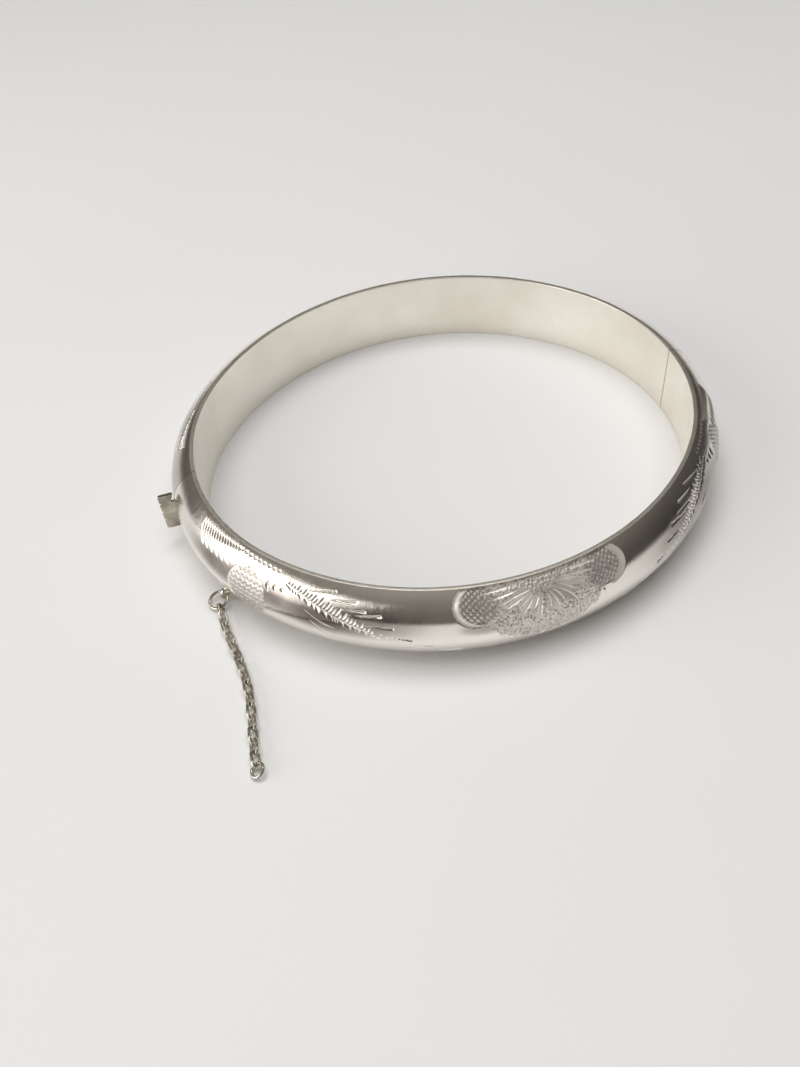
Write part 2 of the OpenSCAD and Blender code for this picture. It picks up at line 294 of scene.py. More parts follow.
def satin_silver():
    """The wrist side: brushed along the band and dulled by wear."""
    clean, worn = (0.97, 0.94, 0.865), (0.88, 0.84, 0.745)
    material, nodes, links, shader = new_material("satin_silver", clean, 1, 0.3)
    place = nodes.new("ShaderNodeTexCoord").outputs["Object"]
    band = nodes.new("ShaderNodeUVMap")
    band.uv_map = "band"
    brushed = noise(nodes, links, band.outputs[0], 30, 8, (0.25, 14, 1))
    clouds = noise(nodes, links, place, 120, 4)
    links.new(mixed(nodes, links, ramped(nodes, links, clouds, 0, 1), clean, worn),
              shader.inputs["Base Color"])
    links.new(combined(nodes, links, ramped(nodes, links, brushed, 0.20, 0.34),
                    ramped(nodes, links, clouds, 0.0, 0.12)), shader.inputs["Roughness"])
    add_bump(nodes, links, shader, brushed, 0.16, 0.00008)
    return material


def plain_silver(name, colour, roughness, tarnished, scratch=0.1):
    """Drawn or filed silver with tarnish in clouds."""
    material, nodes, links, shader = new_material(name, colour, 1, roughness)
    place = nodes.new("ShaderNodeTexCoord").outputs["Object"]
    clouds = noise(nodes, links, place, 500, 5)
    fine = noise(nodes, links, place, 3500, 4)
    links.new(mixed(nodes, links, ramped(nodes, links, clouds, 0, 1), colour, tarnished),
              shader.inputs["Base Color"])
    links.new(ramped(nodes, links, fine, roughness * 0.7, roughness * 1.6),
              shader.inputs["Roughness"])
    add_bump(nodes, links, shader, fine, scratch, 0.00003)
    return material


# ------------------------------------------------------------------ meshes

def mesh_piece(name, points, faces, material, body, replaced, sharp, uv=None, values=None):
    """Makes a piece from points in millimetres, smooth but for edges over an angle."""
    mesh = bpy.data.meshes.new(name)
    mesh.from_pydata((np.asarray(points) * MM).tolist(), [], faces)
    if uv is not None:
        layer = mesh.uv_layers.new(name="band")
        loops = np.empty(len(mesh.loops), dtype=np.int32)
        mesh.loops.foreach_get("vertex_index", loops)
        layer.data.foreach_set("uv", (np.asarray(uv)[loops] * UV_SCALE).ravel())
    for layer_name, numbers in (values or {}).items():
        attribute = mesh.attributes.new(layer_name, "FLOAT", "POINT")
        attribute.data.foreach_set("value", np.asarray(numbers, dtype=np.float32))
    mesh.materials.append(material)
    mesh.polygons.foreach_set("use_smooth", [True] * len(mesh.polygons))
    mesh.set_sharp_from_angle(angle=math.radians(sharp))
    piece = bpy.data.objects.new(name, mesh)
    bpy.context.scene.collection.objects.link(piece)
    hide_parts(*replaced)
    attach(piece, body)
    return piece


def plan_point(reach, depth, side):
    """x and y of points along a half; side is -1 for the front half and 1 for the back."""
    reach, depth = np.broadcast_arrays(reach, depth)
    on_clasp_end = reach < END_RUN
    on_side = (reach >= END_RUN) & (reach < END_RUN + SIDE_RUN)
    angle = np.where(on_clasp_end, reach / END_RADIUS,
                     np.where(on_side, JOIN + (reach - END_RUN) / SIDE_RADIUS,
                              math.pi - (HALF_RUN - reach) / END_RADIUS))
    centre_x = np.where(on_clasp_end, -END_OFFSET, np.where(on_side, 0, END_OFFSET))
    centre_y = np.where(on_side, -side * SIDE_OFFSET, 0)
    radius = np.where(on_side, SIDE_RADIUS, END_RADIUS) + depth
    return centre_x - radius * np.cos(angle), centre_y + side * radius * np.sin(angle)


def reach_at_end(distance, depth):
    """The reach at which a line of this depth is this far, in y, from the end of the half."""
    return END_RADIUS * np.arcsin(distance / (END_RADIUS + depth))


def stitch(fine, coarse, picks, flip):
    """Faces between a finely and a coarsely divided border; picks are the shared places."""
    faces = []
    for k in range(len(picks) - 1):
        run = list(fine[picks[k]:picks[k + 1] + 1])
        face = run + [coarse[k + 1], coarse[k]]
        faces.append(face[::-1] if flip else face)
    return faces


def grid_faces(ids, flip):
    corners = np.stack([ids[:-1, :-1], ids[1:, :-1], ids[1:, 1:], ids[:-1, 1:]], axis=-1)
    if flip:
        corners = corners[..., ::-1]
    return corners.reshape(-1, 4).tolist()


# ------------------------------------------------------------------ engraving

class Plate:
    """The engraving over one half: its depth, its matt ground, its painted dark reflection and its
    stains.
    """

    def __init__(self, reach, rise):
        self.reach, self.rise = reach, rise
        self.cut = np.zeros((len(reach), len(rise)))
        self.ground = np.zeros_like(self.cut)
        self.dark_reflection_and_tarnish = np.zeros_like(self.cut)
        self.stain = np.zeros_like(self.cut)

    def window(self, low_s, high_s, low_w, high_w):
        a, b = np.searchsorted(self.reach, (low_s, high_s))
        c, d = np.searchsorted(self.rise, (low_w, high_w))
        s, w = np.meshgrid(self.reach[a:b], self.rise[c:d], indexing="ij")
        return (slice(a, b), slice(c, d)), s, w

    def lay(self, where, depth):
        self.cut[where] = np.maximum(self.cut[where], depth)

    def tone(self, s0, w0, spread_s, spread_w, strength):
        """A soft patch of painted dark reflection, darkening the dome where it would mirror shaded
        surroundings.
        """
        far = (((self.reach[:, None] - s0) / spread_s) ** 2
               + ((self.rise[None, :] - w0) / spread_w) ** 2)
        self.dark_reflection_and_tarnish = np.maximum(self.dark_reflection_and_tarnish, strength * np.exp(-far ** 2))

    def groove(self, start, end, width, depth, form="leaf", lean=0.45, bow=0.0, matt=0.0):
        """A V-cut from start to end. A leaf tapers to both ends, a ray widens to a blunt end."""
        (s0, w0), (s1, w1) = start, end
        margin = width + abs(bow)
        where, s, w = self.window(min(s0, s1) - margin, max(s0, s1) + margin,
                                  min(w0, w1) - margin, max(w0, w1) + margin)
        if s.size == 0:
            return
        length = math.hypot(s1 - s0, w1 - w0)
        along_s, along_w = (s1 - s0) / length, (w1 - w0) / length
        t = ((s - s0) * along_s + (w - w0) * along_w) / length
        across = (w - w0) * along_s - (s - s0) * along_w
        across = across - bow * 4 * t * (1 - t)
        inside = (t > 0) & (t < 1)
        t = np.clip(t, 0, 1)
        if form == "leaf":
            swell = np.sin(math.pi * t) ** 0.7
        elif form == "ray":
            swell = t * np.clip((1 - t) * length / (0.25 * width), 0, 1)
        else:
            swell = np.clip(np.minimum(t, 1 - t) * length / (0.5 * width), 0, 1)
        x = across / (np.maximum(swell, 1e-3) * width / 2)
        v = np.where(x < lean, (x + 1) / (lean + 1), (1 - x) / (1 - lean))
        self.lay(where, np.where(inside, np.clip(v, 0, 1) * depth * swell, 0))
        clean = inside & (v > 0.05) & (v * swell > 0.25)
        self.stain[where] = np.where(clean, 0.0, self.stain[where])
        self.ground[where] = np.maximum(self.ground[where], np.where(inside & (v > 0.05), matt, 0))

    def arc(self, centre, radii, first, last, width, depth, lean=0.45, matt=0.0):
        """A V-cut along an elliptical arc, in degrees from the +reach direction."""
        cs, cw = centre
        rs, rw = radii
        where, s, w = self.window(cs - rs - width, cs + rs + width, cw - rw - width, cw + rw + width)
        angle = np.degrees(np.arctan2((w - cw) / rw, (s - cs) / rs))
        turn = (angle - first) % 360
        span = last - first
        t = turn / span
        off = (np.hypot((s - cs) / rs, (w - cw) / rw) - 1) * min(rs, rw)
        swell = np.where(t < 1, np.sin(math.pi * np.clip(t, 0, 1)) ** 0.4, 0)
        x = off / (np.maximum(swell, 1e-3) * width / 2)
        v = np.where(x < lean, (x + 1) / (lean + 1), (1 - x) / (1 - lean))
        self.lay(where, np.clip(v, 0, 1) * depth * swell)
        self.stain[where] = np.where(v * swell > 0.15, 0.0, self.stain[where])
        self.ground[where] = np.maximum(self.ground[where], np.where(v > 0.05, matt, 0) * (swell > 0))

    def pit(self, s0, w0, radius, depth):
        where, s, w = self.window(s0 - radius, s0 + radius, w0 - radius, w0 + radius)
        self.lay(where, depth * np.clip(1 - np.hypot(s - s0, w - w0) / radius, 0, 1) ** 0.8)

    def stipple(self, box, inside, pitch, depth):
        """Punched pits, a little out of line, wherever inside(s, w) holds."""
        s0, s1, w0, w1 = box
        where, s, w = self.window(*box)
        mask = inside(s, w)
        self.ground[where] = np.maximum(self.ground[where], 0.8 * mask)
        for a in np.arange(s0, s1, pitch):
            for b in np.arange(w0, w1, pitch):
                da, db = rng.uniform(-0.4, 0.4, 2) * pitch
                if inside(np.array(a + da), np.array(b + db)):
                    self.pit(a + da, b + db, pitch * rng.uniform(0.45, 0.75),
                             depth * rng.uniform(0.5, 1.0))
        # tarnish stays in the pits
        dirt = np.clip((self.cut[where] / depth - 0.30) / 0.45, 0, 1) * mask
        self.stain[where] = np.maximum(self.stain[where], 0.9 * dirt)

    def hatch(self, box, inside, degrees, pitch, depth, tone=0.5):
        where, s, w = self.window(*box)
        mask = inside(s, w)
        turn = math.radians(degrees)
        line = (w * math.cos(turn) - s * math.sin(turn)) / pitch
        valley = 1 - np.abs((line % 1) - 0.5) * 2
        self.lay(where, np.where(mask, valley * depth, 0))
        self.stain[where] = np.maximum(self.stain[where], 0.75 * np.where(mask, valley ** 2, 0))
        self.ground[where] = np.maximum(self.ground[where], tone * mask)


def ellipse(cs, cw, rs, rw):
    return lambda s, w: ((s - cs) / rs) ** 2 + ((w - cw) / rw) ** 2 < 1


CARTOUCHE = 47.0    # reach of the middle of the pattern


def cut_cartouche(plate):
    """The middle panel: a fan of petals that opens downward between two side lobes."""
    c, top = CARTOUCHE, 4.9

    def fan_ground(s, w):
        edge = 0.16 * np.sin(s * 5.1) + 0.10 * np.sin(s * 9.7 + w)
        return (((s - c) / (6.9 + edge)) ** 2 + ((w - top) / (6.5 + edge)) ** 2 < 1) & (w < 6.0)

    plate.stipple((c - 7.2, c + 7.2, -1.9, 6.0), fan_ground, 0.30, 0.14)
    lobe_offset, lobe_rise, lobe_radius = 6.6, 4.0, 2.0
    for side in (-1, 1):
        middle = c + side * lobe_offset
        lobe = ellipse(middle, lobe_rise, lobe_radius, lobe_radius)
        box = (middle - 2.1, middle + 2.1, 1.9, 6.0)
        plate.hatch(box, lobe, 90 - side * 38, 0.42, 0.11)
        plate.hatch(box, lobe, 90 + side * 48, 0.50, 0.10)
        if side > 0:
            plate.stipple(box, lobe, 0.32, 0.14)
        first = 80 if side < 0 else -80
        plate.arc((middle, lobe_rise), (2.25, 2.25), first, first + 160 + 30 * (side < 0), 0.80, 0.24,
                  -0.6 * side, 1.0)
    # petals of the fan, from nearly level on one side round to the other
    petals = 13
    for i in range(petals):
        turn = math.radians(-166 + 152 * i / (petals - 1))
        ds, dw = math.cos(turn), math.sin(turn)
        inner, outer = 0.9, (4.3 if i % 2 else 3.3)
        plate.groove((c + ds * inner * 1.4, top + dw * inner), (c + ds * outer * 1.2, top + dw * outer),
                     0.70, 0.24, lean=0.55, bow=0.14 * math.copysign(1, ds))
    ticks = 22
    for i in range(ticks):
        turn = math.radians(-168 + 156 * i / (ticks - 1))
        ds, dw = math.cos(turn), math.sin(turn)
        plate.groove((c + ds * 4.9, top + dw * 4.4), (c + ds * 5.7, top + dw * 5.3), 0.26, 0.14)
    # long level rays either side of the fan
    for side in (-1, 1):
        for rise_in, rise_out, near, far in ((5.5, 5.0, 2.6, 6.6), (4.9, 4.2, 2.3, 5.9),
                                             (4.3, 3.5, 2.4, 5.2)):
            plate.groove((c + side * near, rise_in), (c + side * far, rise_out), 0.46, 0.20,
                         lean=0.6 * side, matt=0.7)


def cut_fern(plate, side):
    """The feathered spray that crosses the band, with long chiselled rays on its open side."""
    def at(offset, rise):
        return CARTOUCHE + side * offset, rise

    spine = [(26.4, 4.2), (25.0, 3.8), (23.6, 3.3), (22.2, 2.8), (20.8, 2.2), (19.4, 1.65),
             (18.0, 1.15), (17.0, 0.7)]
    spine_s = np.array([p[0] for p in spine])[::-1]
    spine_w = np.array([p[1] for p in spine])[::-1]
    for a, b in zip(spine[:-1], spine[1:]):
        plate.groove(at(*a), at(*b), 0.22, 0.10, "bar")
    barb_pitch = 0.36
    for offset in np.arange(17.2, 26.4, barb_pitch):
        rise = np.interp(offset, spine_s, spine_w)
        size = 0.55 + 0.55 * math.sin(math.pi * (offset - 17.0) / 9.6)
        size *= 0.92 + 0.22 * math.sin(offset * 7.3)
        plate.groove(at(offset, rise + 0.05), at(offset - 0.55 * size, rise + 1.0 * size),
                     0.25, 0.12, lean=0.5 * side, bow=0.10 * side)
        plate.groove(at(offset, rise - 0.05), at(offset - 0.95 * size, rise - 0.95 * size),
                     0.27, 0.13, lean=-0.5 * side, bow=-0.14 * side)
    # dots that run on from the spray's tip
    dots = 9
    for i in range(dots):
        t = i / (dots - 1)
        plate.pit(*at(16.4 - 4.4 * t, 0.35 - 3.4 * t), 0.21 - 0.08 * t, 0.10)
        plate.pit(*at(16.1 - 4.2 * t, 0.85 - 3.3 * t), 0.16 - 0.05 * t, 0.08)
    # chiselled rays, level with the band, each ending in a blunt heel
    for tail, heel, width in (((25.4, 4.15), (20.8, 4.95), 0.30), ((22.4, 4.0), (18.5, 4.2), 0.44),
                              ((21.0, 3.25), (17.6, 3.35), 0.34), ((19.6, 2.7), (16.0, 3.05), 0.42),
                              ((18.0, 1.75), (14.8, 1.8), 0.42), ((16.2, 0.75), (13.0, 0.2), 0.42),
                              ((14.2, -0.25), (11.0, -1.0), 0.40), ((12.0, -1.6), (8.4, -1.9), 0.36)):
        plate.groove(at(*tail), at(*heel), width, 0.18, "ray", 0.4 * side)
    # the stem's curl below the spray
    for i in range(3):
        plate.groove(at(24.0 - 0.5 * i, 2.3 - 1.1 * i), at(20.6 - 0.3 * i, 0.7 - 1.3 * i),
                     0.34, 0.11, bow=0.35 * side)


def cut_scale_lobe(plate, side):
    """A rounded lobe filled with rows of scales, outlined by a bright cut."""
    cs, cw = CARTOUCHE + side * 31.0, 1.0
    half_width, half_height = 2.35, 3.25
    inside = ellipse(cs, cw, half_width, half_height)
    box = (cs - 2.4, cs + 2.4, cw - 3.3, cw + 3.3)
    where, s, w = plate.window(*box)
    plate.stain[where] = np.maximum(plate.stain[where], 0.55 * inside(s, w))
    plate.hatch(box, inside, 40, 0.44, 0.09, 0.3)
    plate.hatch(box, inside, -48, 0.50, 0.09, 0.3)
    rows, columns = 9, 8
    scale_width, scale_height = 0.62, 0.70
    for row in range(rows):
        for column in range(columns):
            s = cs - 2.3 + scale_width * column + scale_width / 2 * (row % 2)
            w = cw - 3.0 + scale_height * row
            if inside(s, w):
                plate.arc((s, w), (0.30, 0.34), 20, 160, 0.18, 0.12)
    plate.arc((cs, cw), (2.4, 3.3), 0, 359.9, 0.26, 0.11)
    for i in range(3):
        plate.groove((cs - side * (2.9 + 0.85 * i), 2.6 + 0.3 * i),
                     (cs - side * (2.7 + 0.85 * i), 3.9 - 0.1 * i), 0.46, 0.17, bow=0.14)


def cut_edge_row(plate, near, side):
    """Slanted strokes that shrink to dots along the rim, over a row of leaves."""
    strokes, dots, leaves = 15, 9, 6
    for i in range(strokes):
        t = i / (strokes - 1)
        s = near + side * (0.2 + 6.0 * t)
        w = 4.55 + 0.75 * t
        size = 0.80 - 0.55 * t
        plate.groove((s - side * 0.30 * size, w + size), (s + side * 0.45 * size, w - size),
                     0.36 - 0.10 * t, 0.17, lean=0.5)
    for i in range(dots):
        plate.pit(near + side * (6.6 + 0.66 * i), 5.42 - 0.03 * i, 0.19 - 0.007 * i, 0.14)
    for i in range(leaves):
        s = near + side * (0.7 + 0.86 * i)
        plate.groove((s, 3.9 + 0.04 * i), (s + side * 0.80, 2.65 + 0.06 * i), 0.50, 0.18,
                     lean=0.5, bow=-0.10)


def engrave_front(plate):
    """The pattern runs both ways from the cartouche to the ends."""
    # patches of painted dark reflection, where the dome would mirror shaded surroundings: reach, rise,
    # spread along the band, spread across it, strength
    for patch in ((15.0, 2.1, 9.0, 1.7, 1.0), (26.0, 1.9, 8.0, 2.0, 1.0),
                  (CARTOUCHE - 6.4, 1.4, 2.2, 0.8, 0.7), (68.0, 1.6, 9.0, 2.6, 0.85)):
        plate.tone(*patch)
    cut_cartouche(plate)
    for side in (-1, 1):
        cut_fern(plate, side)
        cut_scale_lobe(plate, side)
        cut_edge_row(plate, CARTOUCHE + side * (39.4 if side < 0 else 38.0), -side)


def engrave_back(plate):
    """The pattern goes a little way past the clasp."""
    # a patch of painted dark reflection near the clasp
    plate.tone(7.0, 2.0, 9.0, 4.5, 0.6)
    cut_edge_row(plate, 5.0, 1)


# ------------------------------------------------------------------ the band

def shell_rises():
    """Rises of the shell's rows, with doubled rows where the notch and hinge room begin."""
    rows = np.linspace(-RIM, RIM, 151)
    hair = 0.004         # half the width of a doubled row
    steps = []
    for height in (NOTCH_HALF, HINGE_ROOM_HALF):
        rise = DOME_RADIUS * math.asin(height / DOME_RADIUS)
        steps += [rise - hair, rise + hair]
    steps = np.array(steps + [-r for r in steps])
    kept = rows[[np.abs(steps - r).min() > 5 * hair for r in rows]]
    return np.sort(np.concatenate([kept, steps])), steps


def trimmed(reach, depth, height, with_notch):
    """Moves the ends of a shell's lines to the seam, the notch and the hinge's room."""
    tail = 2.5           # the length at each end over which a line is stretched
    start = np.where((np.abs(height) < NOTCH_HALF) & with_notch, NOTCH_REACH, SEAM)
    beyond = np.maximum(depth - HINGE_DEPTH, 0) * math.tan(HINGE_RELIEF)
    room = np.sqrt(np.maximum(HINGE_ROOM ** 2 - (depth - HINGE_DEPTH) ** 2, 0))
    room = np.where(np.abs(height) < HINGE_ROOM_HALF, room, 0)
    stop = np.maximum(np.maximum(beyond, room), SEAM)
    start = reach_at_end(start, depth)[None, :]
    stop = reach_at_end(stop, depth)[None, :]
    near = start + (tail - start) * reach[:, None] / tail
    far = HALF_RUN - stop - (tail - stop) * (HALF_RUN - reach[:, None]) / tail
    return np.where(reach[:, None] < tail, near,
                    np.where(reach[:, None] > HALF_RUN - tail, far, reach[:, None]))


def band_shell(name, side, reach, engrave, material, body, replaced):
    """One half's domed shell: an engraved outer face, a plain inner face and its edges."""
    rise, steps = shell_rises()
    plate = Plate(reach, rise)
    engrave(plate)
    end_margin, rim_margin = 2.6, 0.12      # the engraving fades out this far from the edges
    end_fade = np.minimum(reach - end_margin, HALF_RUN - end_margin - reach) / 0.5
    rim_fade = (RIM - rim_margin - np.abs(rise)) / 0.25
    end_fade, rim_fade = np.clip(end_fade, 0, 1)[:, None], np.clip(rim_fade, 0, 1)[None, :]
    cut = plate.cut * end_fade * rim_fade
    ground = plate.ground * end_fade * rim_fade

    tilt = rise / DOME_RADIUS
    height = DOME_RADIUS * np.sin(tilt)
    depth = DOME_CENTRE + DOME_RADIUS * np.cos(tilt)
    lines = trimmed(reach, depth, height, side < 0)
    radius = DOME_RADIUS - cut
    x, y = plan_point(lines, DOME_CENTRE + radius * np.cos(tilt)[None, :], side)
    outer = np.stack([x, y, MID + radius * np.sin(tilt)[None, :]], axis=-1)

    # the inner face is coarser: it keeps every twelfth line and every eighth row of the outer one
    line_skip, row_skip = 12, 8
    keep_s = np.unique(np.concatenate([np.arange(0, len(reach), line_skip), [len(reach) - 1]]))
    stepped = [int(np.argmin(np.abs(rise - r))) for r in steps]
    keep_w = np.unique(np.concatenate([np.arange(0, len(rise), row_skip), stepped, [len(rise) - 1]]))
    inner_radius = DOME_RADIUS - WALL
    inner_rim = math.sqrt(inner_radius ** 2 - (LINER - DOME_CENTRE) ** 2)
    # above this height its rows close up, because its rim is lower than the outer one
    bend = 3.5
    out_height = height[keep_w]
    squeezed = bend + (np.abs(out_height) - bend) * (inner_rim - bend) / (BAND_HEIGHT / 2 - bend)
    in_height = np.where(np.abs(out_height) < bend, out_height, np.sign(out_height) * squeezed)
    in_depth = DOME_CENTRE + np.sqrt(inner_radius ** 2 - in_height ** 2)
    in_lines = trimmed(reach[keep_s], in_depth, in_height, side < 0)
    x, y = plan_point(in_lines, in_depth[None, :], side)
    inner = np.stack([x, y, np.broadcast_to(MID + in_height, x.shape)], axis=-1)

    outer_ids = np.arange(outer.shape[0] * outer.shape[1]).reshape(outer.shape[:2])
    inner_ids = outer_ids.size + np.arange(inner.shape[0] * inner.shape[1]).reshape(inner.shape[:2])
    flip = side > 0
    faces = grid_faces(outer_ids, flip) + grid_faces(inner_ids, not flip)
    faces += stitch(outer_ids[:, 0], inner_ids[:, 0], keep_s, not flip)
    faces += stitch(outer_ids[:, -1], inner_ids[:, -1], keep_s, flip)
    faces += stitch(outer_ids[0], inner_ids[0], keep_w, flip)
    faces += stitch(outer_ids[-1], inner_ids[-1], keep_w, not flip)
    points = np.concatenate([outer.reshape(-1, 3), inner.reshape(-1, 3)])
    flat_s, flat_w = np.meshgrid(reach, rise, indexing="ij")
    in_s, in_w = np.meshgrid(reach[keep_s], rise[keep_w], indexing="ij")
    uv = np.concatenate([np.stack([flat_s, flat_w], -1).reshape(-1, 2),
                         np.stack([in_s, in_w], -1).reshape(-1, 2)])
    # the painted dark reflection is left out of the cuts, so the cuts themselves are bright; the
    # tarnish in the pits and hatching is kept
    bright_depth = 0.04
    dark_reflection_and_tarnish = np.maximum(plate.dark_reflection_and_tarnish * np.clip(1 - plate.cut / bright_depth, 0, 1), plate.stain)
    values = {key: np.concatenate([layer.ravel(), np.zeros(inner_ids.size)])
              for key, layer in (("ground", ground), ("dark_reflection_and_tarnish", dark_reflection_and_tarnish))}
    return mesh_piece(name, points, faces, material, body, [replaced], 62, uv, values)


def liner_section():
    """The liner's outline, with softened edges, as (depth, height) pairs."""
    soft, crisp = 0.09, 0.02     # radii of the edges on the wrist side and on the shell's side
    outline = []
    for depth, height, turn in ((soft, soft, 180), (LINER - crisp, crisp, 270),
                                (LINER - crisp, BAND_HEIGHT - crisp, 0),
                                (soft, BAND_HEIGHT - soft, 90)):
        radius = soft if depth == soft else crisp
        for k in range(5):
            a = math.radians(turn + 90 * k / 4)
            outline.append((depth + radius * math.cos(a), height + radius * math.sin(a)))
    rows = []
    for a, b in zip(outline, outline[1:] + outline[:1]):
        # only the two wide faces are divided
        parts = 16 if abs(b[1] - a[1]) > 1 else 1
        rows += [(a[0] + (b[0] - a[0]) * k / parts, a[1] + (b[1] - a[1]) * k / parts)
                 for k in range(parts)]
    return np.array(rows)


def band_liner(name, side, material, body, replaced):
    """One half's flat strip on the wrist side."""
    section = liner_section()
    depth, height = section.T
    reach = np.linspace(0, HALF_RUN, 361)
    ends = reach_at_end(SEAM, depth)
    reach = np.clip(reach[:, None], ends[None, :], HALF_RUN - ends[None, :])
    # the face has been hammered true and dressed by hand, so it is never quite flat
    wave_height, face_depth = 0.012, 0.05
    wave = wave_height * np.sin(reach * 0.9) * np.cos(height * 0.7)[None, :]
    pressed = (depth < face_depth)[None, :] * np.abs(wave)
    x, y = plan_point(reach, depth[None, :] + pressed, side)
    points = np.stack([x, y, np.broadcast_to(height + liner_low.z, x.shape)], axis=-1)
    ids = np.arange(points.shape[0] * points.shape[1]).reshape(points.shape[:2])
    ring = np.concatenate([ids, ids[:, :1]], axis=1)
    faces = grid_faces(ring, side < 0)
    first, last = ids[0].tolist(), ids[-1].tolist()
    faces += [first[::-1], last] if side > 0 else [first, last[::-1]]
    climb = np.concatenate([[0], np.cumsum(np.hypot(*np.diff(section, axis=0).T))])
    uv = np.stack([reach, np.broadcast_to(climb, reach.shape)], axis=-1).reshape(-1, 2)
    return mesh_piece(name, points.reshape(-1, 3), faces, material, body, [replaced],
                      55, uv)


# ------------------------------------------------------------------ fittings

def tube(path, radius, closed=True):
    """Points and faces of a round wire along a path of points; an open wire gets end caps."""
    sides = 14
    path = [Vector(p) for p in path]
    count = len(path)
    points, faces = [], []
    normal = None
    for i, p in enumerate(path):
        ahead = path[(i + 1) % count] if closed or i < count - 1 else p
        behind = path[i - 1] if closed or i > 0 else p
        along = (ahead - behind).normalized()
        if normal is None:
            normal = along.orthogonal().normalized()
        normal = (normal - along * normal.dot(along)).normalized()
        other = along.cross(normal)
        for k in range(sides):
            a = 2 * math.pi * k / sides
            points.append(p + radius * (math.cos(a) * normal + math.sin(a) * other))
    rings = count if closed else count - 1
    shift = 0
    if closed:
        # the frame that comes back to the start may have turned; line the last ring up with it
        first, last = points[0], points[(count - 1) * sides:]
        shift = min(range(sides), key=lambda k: (last[k] - first).length)
    for i in range(rings):
        near, far = i * sides, (i + 1) % count * sides
        turned = shift if i == count - 1 else 0
        for k in range(sides):
            faces.append([near + (k + turned) % sides, near + (k + 1 + turned) % sides,
                          far + (k + 1) % sides, far + k])
    if not closed:
        faces.append(list(range(sides))[::-1])
        faces.append([(count - 1) * sides + k for k in range(sides)])
    return points, faces


def ring_path(centre, across, up, radius, count, gap):
    """Points round an open ring whose ends nearly meet."""
    first = gap / radius / 2
    span = 2 * math.pi - gap / radius
    turns = [first + span * k / (count - 1) for k in range(count)]
    return [centre + radius * (math.cos(a) * across + math.sin(a) * up) for a in turns]


def make_eyelet(name, side, material, body, replaced):
    """A stout ring of wire standing on the lower edge, with a fillet of solder at its foot."""
    low, high = (Vector(c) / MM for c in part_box(replaced))
    # the ring's middle is this far out from the inner face, and this far below the CAD ring's
    ring_depth, drop = 3.0, 0.02
    ring_radius, ring_wall, ring_width = 0.61, 0.18, 0.28
    squareness = 0.75            # under 1, so the ring's section is a rounded box
    solder_height, solder_length, solder_width = 0.30, 0.46, 0.30
    out = Vector((-math.cos(EYELET_ANGLE), side * math.sin(EYELET_ANGLE), 0))
    centre = (Vector((-END_OFFSET, 0, (low.z + high.z) / 2 - drop))
              + out * (END_RADIUS + ring_depth))
    up = Vector((0, 0, 1))
    along = out.cross(up)
    points, faces = [], []
    rings, sides = 36, 16
    for i in range(rings):
        turn = 2 * math.pi * i / rings
        spoke = math.cos(turn) * out + math.sin(turn) * up
        for k in range(sides):
            a = 2 * math.pi * k / sides
            swell = abs(math.cos(a)) ** squareness * math.copysign(1, math.cos(a))
            lift = abs(math.sin(a)) ** squareness * math.copysign(1, math.sin(a))
            points.append(centre + spoke * (ring_radius + ring_wall * swell)
                          + along * ring_width * lift)
    for i in range(rings):
        near, far = i * sides, (i + 1) % rings * sides
        for k in range(sides):
            after = (k + 1) % sides
            faces.append([near + k, near + after, far + after, far + k])
    # the solder is a flattened ball where the ring meets the dome
    base = len(points)
    foot = centre + 0.62 * (up * 0.80 - out * 0.60)
    lengthwise = (up * 0.80 + out * 0.6).normalized()
    inward = (up * 0.6 - out * 0.8).normalized()
    rows, columns = 8, 16
    points.append(foot - inward * solder_height)
    for r in range(1, rows):
        polar = math.pi * r / rows
        for k in range(columns):
            a = 2 * math.pi * k / columns
            points.append(foot - inward * solder_height * math.cos(polar)
                          + math.sin(polar) * (along * solder_length * math.cos(a)
                                               + lengthwise * solder_width * math.sin(a)))
    points.append(foot + inward * solder_height)
    tip = len(points) - 1
    end_row = base + 1 + (rows - 2) * columns
    for k in range(columns):
        after = (k + 1) % columns
        faces.append([base, base + 1 + after, base + 1 + k])
        faces.append([tip, end_row + k, end_row + after])
        for r in range(rows - 2):
            row = base + 1 + r * columns
            faces.append([row + k, row + after, row + columns + after, row + columns + k])
    return mesh_piece(name, points, faces, material, body, [replaced], 70)


